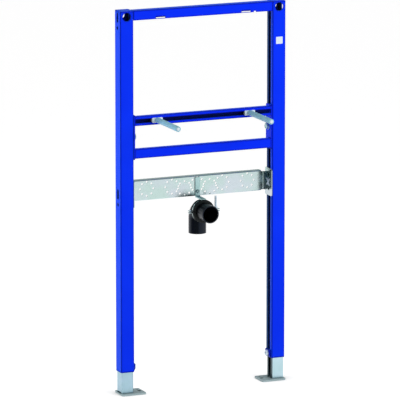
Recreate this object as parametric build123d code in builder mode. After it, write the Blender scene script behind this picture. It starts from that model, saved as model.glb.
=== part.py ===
"""Basin installation frame: blue C-section posts on telescopic feet, with a basin rail,
a perforated tap plate and a clamped waste bend. Millimetres, Z up, front towards -Y."""
import os

from build123d import *

os.makedirs("parts", exist_ok=True)

# Whole frame
frame_width = 500
post_height = 1023
leg_showing = 60

# Posts: square C-section with a slot down the inner face
post_size = 40
post_wall = 2
post_slot = 14
post_corner = 3
cap_thick = 2
anchor_drop = 16
anchor_front_d = 24
anchor_rear_d = 18
web_slot_drop = 19
web_slot_width = 10
web_slot_long = 28
web_hole_d = 9
web_pitch = 29
lip_hole_d = 18

# Feet: a C-section leg that telescopes in the post, on a welded base plate
slide_gap = 0.3
leg_wall = 2
leg_slot = 18
leg_overlap = 220
base_long = 72
base_deep = 60
base_thick = 5
base_corner = 5
base_hole_d = 11
base_hole_inset = 10
pin_hole_d = 4.5
pin_hole_back = 15.5
lug_wide = 28
lug_tall = 23
lug_thick = 5
lug_bolt_up = 12
lug_foot = 1
lug_slope = 8
lug_ease = 2
bolt_hole_d = 10.5

# Rails
top_rail_tall = 27
top_rail_deep = 28
top_rail_wall = 2
window_x = 129
window_wide = 28
window_tall = 4.9
window_web = 1.6
notch_x = 156
notch_wide = 7
notch_tall = 3.5
rail_tall = 27
rail_deep = 18
rail_wall = 2
rail_slot = 11
rail_corner = 2.5
stud_height = 777.5
crossbar_drop = 92
end_plate_thick = 4
end_plate_deep = 36
end_plate_over = 4
end_plate_corner = 6

# Basin studs
stud_spacing = 280
stud_d = 10
stud_reach = 152
stud_chamfer = 1
slot_plate_wide = 31
slot_plate_tall = 14
slot_plate_thick = 3
slot_plate_corner = 2
slide_nut_wide = 30
slide_nut_tall = 20
slide_nut_thick = 5
sleeve_d = 15.5
sleeve_bore_d = 10.6
sleeve_short = 2
sleeve_cap_long = 58
sleeve_groove = 1.2

# Tap plate
plate_drop = 206
plate_tall = 58
plate_thick = 2
plate_setback = 5
fold_deep = 18
fold_radius = 3
end_bend = 8
fold_end = 14
ear_over = 10
ear_back = 6
ear_corner = 5
ear_hole_d = 9
ear_hole_pitch = 40
ear_bolt_d = 8.5
tap_spacing = 153
ring_pcd = 40
ring_hole_d = 5.8
ring_holes = 8
ring_up = 3.5
inner_ring_up = -4

# Waste bend and its clamp
pipe_d = 50
pipe_wall = 3
bend_radius = 27
bend_down = 69
bend_reach = 70
bend_before_plate = 1
collar_d = 64
collar_long = 22
collar_gap = 0.2
band_wide = 12.6
band_thick = 1.6
band_split = 4
clamp_ear_x = 39.5
rivet_ear_x = 37.5
clamp_ear_long = 50
clamp_ear_short = 43
clamp_hole_d = 6.6
clamp_rod_d = 6
clamp_rod_top = 40
nut_across = 10
nut_tall = 5
strap_wide = 14
strap_thick = 3
strap_bend = 6
strap_top_inset = 4
boss_d = 12
boss_tall = 0.5

# Where the pieces meet
post_x = (frame_width - post_size) / 2
inner_x = frame_width / 2 - post_size
post_bottom = base_thick + leg_showing
post_top = post_bottom + post_height
tube_top = post_top - cap_thick
stud_tip = post_size / 2 + stud_reach
plate_face = post_size / 2 + plate_setback
bend_axis = plate_face - bend_before_plate
rear_reach = bend_axis + pipe_d / 2
mid_y = (stud_tip - rear_reach) / 2
front_y = mid_y - post_size / 2
rail_end = inner_x - end_plate_thick
crossbar_height = stud_height - crossbar_drop
plate_height = stud_height - plate_drop
strap_under = plate_height - plate_tall / 2 - strap_thick
bend_height = strap_under - boss_tall - collar_d / 2
leg_size = post_size - 2 * post_wall - 2 * slide_gap
plate_y = mid_y + plate_face
bend_y = mid_y + bend_axis


def yz_plane(x):
    """Upright plane across the frame at x, drawn with Y across and Z up."""
    return Plane.YZ.offset(x)


def xz_plane(y):
    """Upright plane along the frame at y, drawn with X across and Z up."""
    return Plane.XZ.offset(-y)


def make_post(side):
    """C-section post: access hole in front, anchor hole behind, punched outer web."""
    anchor_z = post_top - anchor_drop
    web_top_z = post_top - web_slot_drop
    lip_z = web_top_z - web_pitch
    with BuildPart() as post:
        with BuildSketch(Plane.XY.offset(post_bottom)):
            with Locations((side * post_x, mid_y)):
                RectangleRounded(post_size, post_size, post_corner)
                inside = post_size - 2 * post_wall
                RectangleRounded(inside, inside, post_corner - post_wall, mode=Mode.SUBTRACT)
            with Locations((side * inner_x, mid_y)):
                Rectangle(4 * post_wall, post_slot, mode=Mode.SUBTRACT)
        extrude(amount=tube_top - post_bottom)
        with BuildSketch(xz_plane(mid_y)):
            with Locations((side * post_x, anchor_z)):
                Circle(anchor_front_d / 2)
        extrude(amount=post_size, mode=Mode.SUBTRACT)
        with BuildSketch(xz_plane(mid_y)):
            with Locations((side * post_x, anchor_z)):
                Circle(anchor_rear_d / 2)
        extrude(amount=-post_size, mode=Mode.SUBTRACT)
        with BuildSketch(yz_plane(side * post_x)):
            for slot_z in (web_top_z, plate_height):
                with Locations((mid_y, slot_z)):
                    SlotOverall(web_slot_long, web_slot_width, rotation=90)
                with Locations((mid_y, slot_z - web_pitch)):
                    Circle(web_hole_d / 2)
        extrude(amount=side * post_size, mode=Mode.SUBTRACT)
        with BuildSketch(yz_plane(side * post_x)):
            with Locations((mid_y, lip_z)):
                Circle(lip_hole_d / 2)
        extrude(amount=-side * post_size, mode=Mode.SUBTRACT)
    return post.part


def make_post_cap(side):
    """Plate that closes the top of a post."""
    with BuildPart() as cap:
        with BuildSketch(Plane.XY.offset(tube_top)):
            with Locations((side * post_x, mid_y)):
                RectangleRounded(post_size, post_size, post_corner)
        extrude(amount=cap_thick)
    return cap.part


def make_leg(side):
    """C-section leg, open towards the middle of the frame like the post round it."""
    with BuildPart() as leg:
        with BuildSketch(Plane.XY.offset(base_thick)):
            with Locations((side * post_x, mid_y)):
                RectangleRounded(leg_size, leg_size, post_corner - slide_gap)
                inside = leg_size - 2 * leg_wall
                Rectangle(inside, inside, mode=Mode.SUBTRACT)
            with Locations((side * (post_x - leg_size / 2), mid_y)):
                Rectangle(4 * leg_wall, leg_slot, mode=Mode.SUBTRACT)
        extrude(amount=leg_showing + leg_overlap)
    return leg.part


def make_base_plate(side):
    """Foot plate that runs from under the post towards the middle, with floor hole and pin hole."""
    plate_x = frame_width / 2 - base_long / 2
    hole_x = frame_width / 2 - base_long + base_hole_inset
    with BuildPart() as plate:
        with BuildSketch(Plane.XY):
            with Locations((side * plate_x, mid_y)):
                RectangleRounded(base_long, base_deep, base_corner)
            with Locations((side * hole_x, mid_y)):
                Circle(base_hole_d / 2, mode=Mode.SUBTRACT)
            with Locations((side * hole_x, mid_y + pin_hole_back)):
                Circle(pin_hole_d / 2, mode=Mode.SUBTRACT)
        extrude(amount=base_thick)
    return plate.part


def make_clamp_lug(side):
    """Lug at the foot of a post that takes the bolt holding the leg."""
    top = post_bottom + lug_tall
    out = side * (inner_x - lug_thick)
    bolt_z = post_bottom + lug_bolt_up
    with BuildPart() as lug:
        with BuildSketch(xz_plane(mid_y)):
            with BuildLine():
                Polyline(
                    (side * inner_x, post_bottom),
                    (side * (inner_x - lug_foot), post_bottom),
                    (out, post_bottom + lug_slope),
                    (out, top - lug_ease),
                    (side * (inner_x - lug_thick + lug_ease), top),
                    (side * inner_x, top),
                    close=True,
                )
            make_face()
        extrude(amount=lug_wide / 2, both=True)
        with BuildSketch(yz_plane(side * inner_x)):
            with Locations((mid_y, bolt_z)):
                Circle(bolt_hole_d / 2)
        extrude(amount=-side * lug_thick, mode=Mode.SUBTRACT)
    return lug.part


def make_end_plate(side):
    """Plate on the inner face of a post that carries the stud rail and the crossbar."""
    top = stud_height + rail_tall / 2 + end_plate_over
    bottom = crossbar_height - rail_tall / 2 - end_plate_over
    middle_z = (top + bottom) / 2
    with BuildPart() as plate:
        with BuildSketch(yz_plane(side * inner_x)):
            with Locations((front_y + end_plate_deep / 2, middle_z)):
                RectangleRounded(end_plate_deep, top - bottom, end_plate_corner)
            with Locations((mid_y, middle_z)):
                Circle(bolt_hole_d / 2, mode=Mode.SUBTRACT)
        extrude(amount=-side * end_plate_thick)
    return plate.part


def make_stud_rod(side):
    """Basin stud with the slide nut that holds it behind the rail's lips."""
    nut_y = front_y + rail_wall
    with BuildPart() as rod:
        with BuildSketch(xz_plane(nut_y + slide_nut_thick)):
            with Locations((side * stud_spacing / 2, stud_height)):
                Rectangle(slide_nut_wide, slide_nut_tall)
        extrude(amount=slide_nut_thick)
        with BuildSketch(xz_plane(nut_y)):
            with Locations((side * stud_spacing / 2, stud_height)):
                Circle(stud_d / 2)
        extrude(amount=stud_reach + rail_wall)
        chamfer(rod.edges().group_by(Axis.Y)[0], length=stud_chamfer)
    return rod.part


def make_slot_plate(side):
    """Oblong washer that bears on both lips of the rail."""
    with BuildPart() as plate:
        with BuildSketch(xz_plane(front_y)):
            with Locations((side * stud_spacing / 2, stud_height)):
                RectangleRounded(slot_plate_wide, slot_plate_tall, slot_plate_corner)
                Circle(sleeve_bore_d / 2, mode=Mode.SUBTRACT)
        extrude(amount=slot_plate_thick)
    return plate.part


def make_stud_sleeve(side):
    """Protective sleeve over the stud, grooved where its end cap begins."""
    start = front_y - slot_plate_thick
    tip = front_y - stud_reach + sleeve_short
    with BuildPart() as sleeve:
        with BuildSketch(xz_plane(start)):
            with Locations((side * stud_spacing / 2, stud_height)):
                Circle(sleeve_d / 2)
                Circle(sleeve_bore_d / 2, mode=Mode.SUBTRACT)
        extrude(amount=start - tip)
        with BuildSketch(xz_plane(tip + sleeve_cap_long)):
            with Locations((side * stud_spacing / 2, stud_height)):
                Circle(sleeve_d)
                Circle(sleeve_d / 2 - sleeve_groove / 2, mode=Mode.SUBTRACT)
        extrude(amount=sleeve_groove, mode=Mode.SUBTRACT)
    return sleeve.part


def tap_ring(ring_x, up):
    """One ring of tap-elbow holes, sketched on the face of the tap plate."""
    with Locations((ring_x, plate_height + up)):
        with PolarLocations(ring_pcd / 2, ring_holes):
            Circle(ring_hole_d / 2)


def make_clamp_band(upward):
    """Half of the pipe clamp: a bent band with an ear at each end."""
    middle_y = bend_y - bend_radius - collar_long / 2
    start = middle_y + band_wide / 2
    inner_r = collar_d / 2 - band_thick
    split_z = bend_height + upward * band_split / 2
    with BuildPart() as band:
        with BuildSketch(xz_plane(start)):
            with Locations((0, bend_height)):
                Circle(collar_d / 2)
                Circle(inner_r, mode=Mode.SUBTRACT)
            with Locations((0, split_z - upward * collar_d / 2)):
                Rectangle(2 * collar_d, collar_d, mode=Mode.SUBTRACT)
            for ear_end in (clamp_ear_long, -clamp_ear_short):
                reach = abs(ear_end) - inner_r - band_thick / 2
                ear_mid = (abs(ear_end) + inner_r + band_thick / 2) / 2
                if ear_end < 0:
                    ear_mid = -ear_mid
                with Locations((ear_mid, split_z + upward * band_thick / 2)):
                    Rectangle(reach, band_thick)
        extrude(amount=band_wide)
        with BuildSketch(Plane.XY.offset(bend_height)):
            with Locations((clamp_ear_x, middle_y), (-rivet_ear_x, middle_y)):
                Circle(clamp_hole_d / 2)
        extrude(amount=band_split, both=True, mode=Mode.SUBTRACT)
        if upward > 0:
            with BuildSketch(Plane.XY.offset(bend_height + inner_r + band_thick / 2)):
                with Locations((0, middle_y)):
                    Circle(boss_d / 2)
            extrude(amount=boss_tall + band_thick / 2)
    return band.part


# Top rail: channel open downwards, welded between the posts
with BuildPart() as top_rail:
    with BuildSketch(yz_plane(0)):
        with Locations((front_y + top_rail_deep / 2, post_top - top_rail_tall / 2)):
            RectangleRounded(top_rail_deep, top_rail_tall, post_corner)
        with Locations((front_y + top_rail_deep / 2, post_top - top_rail_tall / 2 - post_corner)):
            Rectangle(top_rail_deep, top_rail_tall - 2 * post_corner)
        inside_deep = top_rail_deep - 2 * top_rail_wall
        with Locations((front_y + top_rail_deep / 2, post_top - top_rail_tall / 2 - top_rail_wall)):
            Rectangle(inside_deep, top_rail_tall, mode=Mode.SUBTRACT)
    extrude(amount=inner_x, both=True)
    with BuildSketch(xz_plane(front_y + 2 * top_rail_wall)):
        window_z = post_top - top_rail_tall + window_web + window_tall / 2
        with Locations((-window_x, window_z), (window_x, window_z)):
            Rectangle(window_wide, window_tall)
        with Locations((notch_x, post_top - top_rail_tall)):
            Rectangle(notch_wide, 2 * notch_tall)
    extrude(amount=4 * top_rail_wall, mode=Mode.SUBTRACT)

# Stud rail: C-section with its slot to the front
with BuildPart() as stud_rail:
    with BuildSketch(yz_plane(0)):
        with Locations((front_y + rail_deep / 2, stud_height)):
            RectangleRounded(rail_deep, rail_tall, rail_corner)
            Rectangle(rail_deep - 2 * rail_wall, rail_tall - 2 * rail_wall, mode=Mode.SUBTRACT)
        with Locations((front_y, stud_height)):
            Rectangle(4 * rail_wall, rail_slot, mode=Mode.SUBTRACT)
    extrude(amount=rail_end, both=True)

# Lower crossbar: closed tube of the same outside size
with BuildPart() as lower_crossbar:
    with BuildSketch(yz_plane(0)):
        with Locations((front_y + rail_deep / 2, crossbar_height)):
            RectangleRounded(rail_deep, rail_tall, rail_corner)
            Rectangle(rail_deep - 2 * rail_wall, rail_tall - 2 * rail_wall, mode=Mode.SUBTRACT)
    extrude(amount=rail_end, both=True)

# Tap plate: folded back along both long edges, bent forward into ears at the ends
with BuildPart() as tap_plate:
    with BuildSketch(yz_plane(0)):
        with Locations((plate_y + fold_deep / 2, plate_height)):
            Rectangle(fold_deep, plate_tall)
        with Locations((plate_y + plate_thick + fold_deep / 2, plate_height)):
            Rectangle(fold_deep, plate_tall - 2 * plate_thick, mode=Mode.SUBTRACT)
    extrude(amount=inner_x - fold_end, both=True)
    front_edges = tap_plate.edges().filter_by(Axis.X).group_by(Axis.Y)[0]
    fillet(front_edges, radius=fold_radius)
    with BuildSketch(Plane.XY.offset(plate_height)) as plan:
        with Locations((0, (front_y + plate_y + plate_thick) / 2)):
            Rectangle(2 * inner_x, plate_y + plate_thick - front_y)
        with Locations((0, (front_y + plate_y) / 2 - plate_thick)):
            Rectangle(
                2 * (inner_x - plate_thick),
                plate_y - front_y + 2 * plate_thick,
                mode=Mode.SUBTRACT,
            )
        corners = plan.vertices().group_by(Axis.Y)
        fillet(corners[-1], radius=end_bend + plate_thick)
        inner_corners = plan.vertices().filter_by(lambda v: abs(v.Y - plate_y) < 0.1)
        fillet(inner_corners, radius=end_bend)
    extrude(amount=plate_tall / 2 - fold_radius, both=True)
    for side in (-1, 1):
        with BuildSketch(yz_plane(side * inner_x)):
            with Locations((mid_y + ear_back / 2, plate_height)):
                RectangleRounded(post_size + ear_back, plate_tall + 2 * ear_over, ear_corner)
        extrude(amount=-side * plate_thick)
        with BuildSketch(yz_plane(side * inner_x)):
            with Locations((mid_y, plate_height)):
                Circle(ear_bolt_d / 2)
            with Locations((mid_y, plate_height + ear_hole_pitch / 2)):
                Circle(ear_hole_d / 2)
            with Locations((mid_y, plate_height - ear_hole_pitch / 2)):
                Circle(ear_hole_d / 2)
        extrude(amount=-side * plate_thick, mode=Mode.SUBTRACT)
    with BuildSketch(xz_plane(plate_y + plate_thick)):
        for side in (-1, 1):
            tap_ring(side * tap_spacing, ring_up)
            tap_ring(side * tap_spacing / 2, ring_up)
            tap_ring(side * tap_spacing / 4, inner_ring_up)
        tap_ring(0, ring_up)
    extrude(amount=plate_thick, mode=Mode.SUBTRACT)

# Waste bend: plain pipe bend, one leg down and one leg to the front
pipe_front = mid_y - bend_reach
with BuildPart() as waste_bend:
    with BuildLine(Plane.YZ) as bend_path:
        FilletPolyline(
            (bend_y, bend_height - bend_down),
            (bend_y, bend_height),
            (pipe_front, bend_height),
            radius=bend_radius,
        )
    with BuildSketch(Plane.XY.offset(bend_height - bend_down)):
        with Locations((0, bend_y)):
            Circle(pipe_d / 2)
            Circle(pipe_d / 2 - pipe_wall, mode=Mode.SUBTRACT)
    sweep(path=bend_path.line)

# Rubber collar round the bend's front leg, grooved for the clamp bands
collar_back = bend_y - bend_radius
collar_mid = collar_back - collar_long / 2
with BuildPart() as bend_collar:
    with BuildSketch(xz_plane(collar_back)):
        with Locations((0, bend_height)):
            Circle(collar_d / 2)
            Circle(pipe_d / 2 + collar_gap, mode=Mode.SUBTRACT)
    extrude(amount=collar_long)
    with BuildSketch(xz_plane(collar_mid + band_wide / 2 + collar_gap)):
        with Locations((0, bend_height)):
            Circle(collar_d)
            Circle(collar_d / 2 - band_thick - collar_gap, mode=Mode.SUBTRACT)
    extrude(amount=band_wide + 2 * collar_gap, mode=Mode.SUBTRACT)

# Strap from the tap plate down and forward to the top of the clamp
strap_top = plate_height + plate_tall / 2 - strap_top_inset
with BuildPart() as clamp_strap:
    with BuildSketch(yz_plane(0)):
        strap_front = collar_mid - boss_d / 2
        with Locations(((strap_front + plate_y) / 2, (strap_under + strap_top) / 2)):
            Rectangle(plate_y - strap_front, strap_top - strap_under)
        with Locations(
            (
                (strap_front + plate_y) / 2 - strap_thick,
                (strap_under + strap_top) / 2 + strap_thick,
            )
        ):
            Rectangle(plate_y - strap_front, strap_top - strap_under, mode=Mode.SUBTRACT)
    extrude(amount=strap_wide / 2, both=True)
    under_edge = clamp_strap.edges().filter_by(Axis.X).group_by(Axis.Z)[0].group_by(Axis.Y)[-1]
    fillet(under_edge, radius=strap_bend)
    inner_edge = clamp_strap.edges().filter_by(Axis.X).filter_by(
        lambda e: abs(e.center().Z - strap_under - strap_thick) < 0.1
        and abs(e.center().Y - plate_y + strap_thick) < 0.1
    )
    fillet(inner_edge, radius=strap_bend - strap_thick)

# Clamp rod: the long screw through the right ears, with its two nuts
ear_outer = band_split / 2 + band_thick
with BuildPart() as clamp_rod:
    with BuildSketch(Plane.XY.offset(bend_height - ear_outer - nut_tall)):
        with Locations((clamp_ear_x, collar_mid)):
            RegularPolygon(nut_across / 2, 6, major_radius=False)
    extrude(amount=nut_tall)
    with BuildSketch(Plane.XY.offset(bend_height - ear_outer - nut_tall)):
        with Locations((clamp_ear_x, collar_mid)):
            Circle(clamp_rod_d / 2)
    extrude(amount=ear_outer + nut_tall + clamp_rod_top)
    with BuildSketch(Plane.XY.offset(bend_height + ear_outer)):
        with Locations((clamp_ear_x, collar_mid)):
            RegularPolygon(nut_across / 2, 6, major_radius=False)
    extrude(amount=nut_tall)

# Named pieces, left and right
pieces = {
    "top_rail": top_rail.part,
    "stud_rail": stud_rail.part,
    "lower_crossbar": lower_crossbar.part,
    "tap_plate": tap_plate.part,
    "waste_bend": waste_bend.part,
    "bend_collar": bend_collar.part,
    "clamp_strap": clamp_strap.part,
    "clamp_rod": clamp_rod.part,
    "clamp_band_upper": make_clamp_band(1),
    "clamp_band_lower": make_clamp_band(-1),
}
for hand, side in (("left", -1), ("right", 1)):
    pieces[hand + "_post"] = make_post(side)
    pieces[hand + "_post_cap"] = make_post_cap(side)
    pieces[hand + "_leg"] = make_leg(side)
    pieces[hand + "_base_plate"] = make_base_plate(side)
    pieces[hand + "_clamp_lug"] = make_clamp_lug(side)
    pieces[hand + "_end_plate"] = make_end_plate(side)
    pieces[hand + "_stud_rod"] = make_stud_rod(side)
    pieces[hand + "_slot_plate"] = make_slot_plate(side)
    pieces[hand + "_stud_sleeve"] = make_stud_sleeve(side)

for name, solid in pieces.items():
    solid.label = name
    export_step(solid, "parts/" + name + ".step")
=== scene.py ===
# %% [markdown]
# # Dressing a basin installation frame
# The solids of the frame come from a CAD pack and stay exactly where they are. This lesson gives
# them the finish of the real thing and adds what is too small for the CAD: bolts, screws, threads,
# weld beads and a blank label. The first step loads the pack, which puts every solid at the origin
# with its place in its vertices, in metres, with Z up and the front of the frame towards -Y.

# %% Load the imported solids
import math

import bmesh
import bpy
from mathutils import Matrix, Vector


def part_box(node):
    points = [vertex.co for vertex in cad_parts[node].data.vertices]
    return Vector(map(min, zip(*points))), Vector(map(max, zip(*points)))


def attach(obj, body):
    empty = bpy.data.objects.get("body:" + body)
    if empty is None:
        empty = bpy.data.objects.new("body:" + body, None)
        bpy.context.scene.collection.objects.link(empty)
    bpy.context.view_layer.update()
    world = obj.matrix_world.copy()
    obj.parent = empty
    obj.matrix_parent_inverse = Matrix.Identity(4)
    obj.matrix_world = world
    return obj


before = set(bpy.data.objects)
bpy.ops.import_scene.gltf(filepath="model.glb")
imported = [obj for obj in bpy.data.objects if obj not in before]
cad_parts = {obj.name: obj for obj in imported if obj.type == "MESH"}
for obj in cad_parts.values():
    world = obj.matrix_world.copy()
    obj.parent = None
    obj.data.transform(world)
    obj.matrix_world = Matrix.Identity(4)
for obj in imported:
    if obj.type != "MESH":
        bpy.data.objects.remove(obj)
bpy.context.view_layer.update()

# %% [markdown]
# ## Tools for the finishes
# A colour is written as the hex value that a screen shows, but Blender's shaders work in linear
# light, so one function converts it. Another adds a shader node with its settings and its incoming
# links in a single call, which keeps each finish short enough to read. Pattern scales in Blender
# count repeats per metre, so a third function turns a real size in millimetres into that number.

# %% Colour, node and scale helpers
MM = 0.001


def linear(hex_colour):
    """sRGB hex text to a linear RGBA tuple."""
    channels = []
    for start in (1, 3, 5):
        value = int(hex_colour[start:start + 2], 16) / 255
        if value <= 0.04045:
            channels.append(value / 12.92)
        else:
            channels.append(((value + 0.055) / 1.055) ** 2.4)
    return (*channels, 1.0)


def add_node(tree, kind, settings, links):
    """Add one node, set its properties and sockets, and link its inputs."""
    node = tree.nodes.new(kind)
    for key, value in settings.items():
        if isinstance(key, str) and hasattr(node, key):
            setattr(node, key, value)
        else:
            node.inputs[key].default_value = value
    for key, source in links.items():
        tree.links.new(source, node.inputs[key])
    return node


def per_metre(size_mm):
    """Pattern scale whose repeat is about this many millimetres."""
    return 1 / (size_mm * MM)


def start_finish(name):
    """New empty node material, its node tree and its Object coordinates."""
    finish = bpy.data.materials.new(name)
    finish.use_nodes = True
    finish.node_tree.nodes.clear()
    coords = finish.node_tree.nodes.new("ShaderNodeTexCoord")
    return finish, finish.node_tree, coords.outputs["Object"]


print("helpers ready: 100 mm cloud has scale", per_metre(100))

# %% [markdown]
# ## Masks that the shape itself gives
# Paint thins on edges, and rounded edges, joints, slots and inner faces lie in shade; that shade is
# painted into the colour here. That could be painted by hand on an unwrapped map. These masks are
# worked out from the normal of the surface and from how much sky a point sees, so nothing has to be
# unwrapped, and they still fit when the CAD changes.

# %% Edge, corner, shelter and inward masks


def edge_mask(tree, reach_mm, fade):
    """Mask that is 1 along edges: there a rounded normal leaves the face's own normal."""
    rounded = add_node(tree, "ShaderNodeBevel", {"samples": 6, "Radius": reach_mm * MM}, {})
    own = add_node(tree, "ShaderNodeNewGeometry", {}, {})
    agree = add_node(
        tree, "ShaderNodeVectorMath", {"operation": "DOT_PRODUCT"},
        {0: rounded.outputs["Normal"], 1: own.outputs["Normal"]},
    )
    mask = add_node(
        tree, "ShaderNodeMapRange",
        {"From Min": fade, "From Max": 0.999, "To Min": 1.0, "To Max": 0.0},
        {"Value": agree.outputs["Value"]},
    )
    return mask.outputs["Result"]


def corner_mask(tree, round_at, flat_at):
    """Mask that is 1 on rounded corners: there no axis of the frame is square to the surface."""
    own = add_node(tree, "ShaderNodeNewGeometry", {}, {})
    size = add_node(
        tree, "ShaderNodeVectorMath", {"operation": "ABSOLUTE"}, {0: own.outputs["Normal"]},
    )
    parts = add_node(tree, "ShaderNodeSeparateXYZ", {}, {"Vector": size.outputs["Vector"]})
    wider = add_node(
        tree, "ShaderNodeMath", {"operation": "MAXIMUM"},
        {0: parts.outputs["X"], 1: parts.outputs["Y"]},
    )
    widest = add_node(
        tree, "ShaderNodeMath", {"operation": "MAXIMUM"},
        {0: wider.outputs[0], 1: parts.outputs["Z"]},
    )
    mask = add_node(
        tree, "ShaderNodeMapRange",
        {"From Min": round_at, "From Max": flat_at, "To Min": 1.0, "To Max": 0.0},
        {"Value": widest.outputs[0]},
    )
    return mask.outputs["Result"]


def shelter_mask(tree, reach_mm, own_only, open_at, shut_at):
    """Mask that is 1 where walls close by shut the sky out, as inside a slot or in a joint."""
    sky = add_node(
        tree, "ShaderNodeAmbientOcclusion",
        {"samples": 8, "only_local": own_only, "Distance": reach_mm * MM}, {},
    )
    mask = add_node(
        tree, "ShaderNodeMapRange",
        {"From Min": shut_at, "From Max": open_at, "To Min": 1.0, "To Max": 0.0},
        {"Value": sky.outputs["AO"]},
    )
    return mask.outputs["Result"]


def inward_mask(tree, place, strength):
    """Mask that reaches this strength on faces turned to the middle of the frame."""
    own = add_node(tree, "ShaderNodeNewGeometry", {}, {})
    # Normal times place is negative along X where a face looks back to the middle
    turned = add_node(
        tree, "ShaderNodeVectorMath", {"operation": "MULTIPLY"},
        {0: own.outputs["Normal"], 1: place},
    )
    sides = add_node(tree, "ShaderNodeSeparateXYZ", {}, {"Vector": turned.outputs["Vector"]})
    mask = add_node(
        tree, "ShaderNodeMapRange",
        {"From Min": -0.15, "From Max": -0.05, "To Min": strength, "To Max": 0.0},
        {"Value": sides.outputs["X"]},
    )
    return mask.outputs["Result"]


print("masks ready: edge, corner, shelter and inward")

# %% [markdown]
# ## Blue powder coat
# The posts and rails are steel sections sprayed with dry polyester powder and baked. The film flows
# into a fine orange peel and is slightly glossy. A thin dark line is painted along sharp edges,
# rounded corners and the posts' bottom ends: partly the film that pulls back from edges, partly
# painted shade of the rounded edges. The peel is really about 1.5 mm across, and it is drawn at 5 mm
# so that it shows. A broad, weak cloud stands for the uneven film thickness. Charged powder hardly
# enters a narrow section, but the near black inside the slots and on the posts' rear lips is painted
# shade, from an occlusion mask and from where the rear lips lie. A plain blue would do from far away,
# but these lines and dark places are what tells coated steel from plastic.

# %% Powder-coated steel
PEEL_MM = 5
FILM_CLOUD_MM = 170
CUT_LINE_MM = 6
CUT_LINE_FADE = 0.78
CORNER_ROUND = 0.90
CORNER_FLAT = 0.995
END_LINE_MM = (1.5, 4.5)
SLOT_REACH_MM = 60
SLOT_OPEN = 0.74
SLOT_SHUT = 0.36
LIP_BLUR = 0.5 * MM
POST_SLOT = 14
post_low, post_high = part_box("right_post")
REAR_LIP_Y = (post_low.y + post_high.y) / 2 + POST_SLOT / 2 * MM


def powder_coated_steel(name, film_tints, sheen, lip_shade):
    finish, tree, place = start_finish(name)
    # Saturated colour with a soft gloss: the eye sees blue first and a pale sheen only at a slant
    cloud = add_node(
        tree, "ShaderNodeTexNoise", {"Scale": per_metre(FILM_CLOUD_MM), "Detail": 3.0},
        {"Vector": place},
    )
    film = add_node(
        tree, "ShaderNodeMix",
        {"data_type": "RGBA", 6: linear(film_tints[0]), 7: linear(film_tints[1])},
        {0: cloud.outputs["Fac"]},
    )
    # Painted shade: a dark line along edges and rounded corners, partly the film pulling back from
    # edges
    edge_line_and_shade = add_node(
        tree, "ShaderNodeMath", {"operation": "MAXIMUM"},
        {
            0: corner_mask(tree, CORNER_ROUND, CORNER_FLAT),
            1: edge_mask(tree, CUT_LINE_MM, CUT_LINE_FADE),
        },
    )
    spot = add_node(tree, "ShaderNodeSeparateXYZ", {}, {"Vector": place})
    # Painted shade: a dark line along the posts' bottom ends
    end_line = add_node(
        tree, "ShaderNodeMapRange",
        {
            "From Min": post_low.z + END_LINE_MM[0] * MM,
            "From Max": post_low.z + END_LINE_MM[1] * MM,
            "To Min": 1.0, "To Max": 0.0,
        },
        {"Value": spot.outputs["Z"]},
    )
    edge_and_end_shade = add_node(
        tree, "ShaderNodeMath", {"operation": "MAXIMUM"},
        {0: edge_line_and_shade.outputs[0], 1: end_line.outputs["Result"]},
    )
    lined = add_node(
        tree, "ShaderNodeMix", {"data_type": "RGBA", 7: linear("#0006a0")},
        {0: edge_and_end_shade.outputs[0], 6: film.outputs[2]},
    )
    # Painted shade: the posts' rear lips, turned to the middle of the frame, are darkened
    behind_slot = add_node(
        tree, "ShaderNodeMapRange",
        {"From Min": REAR_LIP_Y - LIP_BLUR, "From Max": REAR_LIP_Y + LIP_BLUR},
        {"Value": spot.outputs["Y"]},
    )
    rear_lip_shade = add_node(
        tree, "ShaderNodeMath", {"operation": "MULTIPLY"},
        {0: inward_mask(tree, place, lip_shade), 1: behind_slot.outputs["Result"]},
    )
    # Painted shade: near black where the AO node finds walls close by, as inside the slots
    painted_shade_mask = add_node(
        tree, "ShaderNodeMath", {"operation": "MAXIMUM"},
        {
            0: shelter_mask(tree, SLOT_REACH_MM, True, SLOT_OPEN, SLOT_SHUT),
            1: rear_lip_shade.outputs[0],
        },
    )
    painted_slot_shade = add_node(
        tree, "ShaderNodeMix", {"data_type": "RGBA", 7: linear("#000632")},
        {0: painted_shade_mask.outputs[0], 6: lined.outputs[2]},
    )
    peel = add_node(
        tree, "ShaderNodeTexNoise",
        {"Scale": per_metre(PEEL_MM), "Detail": 2.0, "Roughness": 0.4}, {"Vector": place},
    )
    gloss = add_node(
        tree, "ShaderNodeMapRange", {"To Min": 0.36, "To Max": 0.50},
        {"Value": peel.outputs["Fac"]},
    )
    relief = add_node(
        tree, "ShaderNodeBump", {"Strength": 0.10, "Distance": 0.4 * MM},
        {"Height": peel.outputs["Fac"]},
    )
    shader = add_node(
        tree, "ShaderNodeBsdfPrincipled",
        {
            "Specular IOR Level": 0.06,
            "Sheen Weight": sheen,
            "Sheen Roughness": 0.50,
            "Sheen Tint": linear("#38d0ff"),
        },
        {
            "Base Color": painted_slot_shade.outputs[2],
            "Roughness": gloss.outputs["Result"],
            "Normal": relief.outputs["Normal"],
        },
    )
    add_node(tree, "ShaderNodeOutputMaterial", {}, {"Surface": shader.outputs["BSDF"]})
    return finish


print("rear lips of the posts start at Y", round(REAR_LIP_Y / MM, 1), "mm")

# %% [markdown]
# ## Three blue films
# All blue parts got the same powder. The posts have more of the pale bloom at a slant than the rails,
# and only their rear lips are darkened with painted shade. The lugs at their feet are tinted a darker
# blue. The sheen is one number for each film, set on the shader itself.

# %% Films on rails, posts and lugs
COAT_TINTS = ("#0022e6", "#0631fa")
LUG_TINTS = ("#0010a0", "#001eb4")
POST_SHEEN = 0.42
RAIL_SHEEN = 0.12
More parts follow.
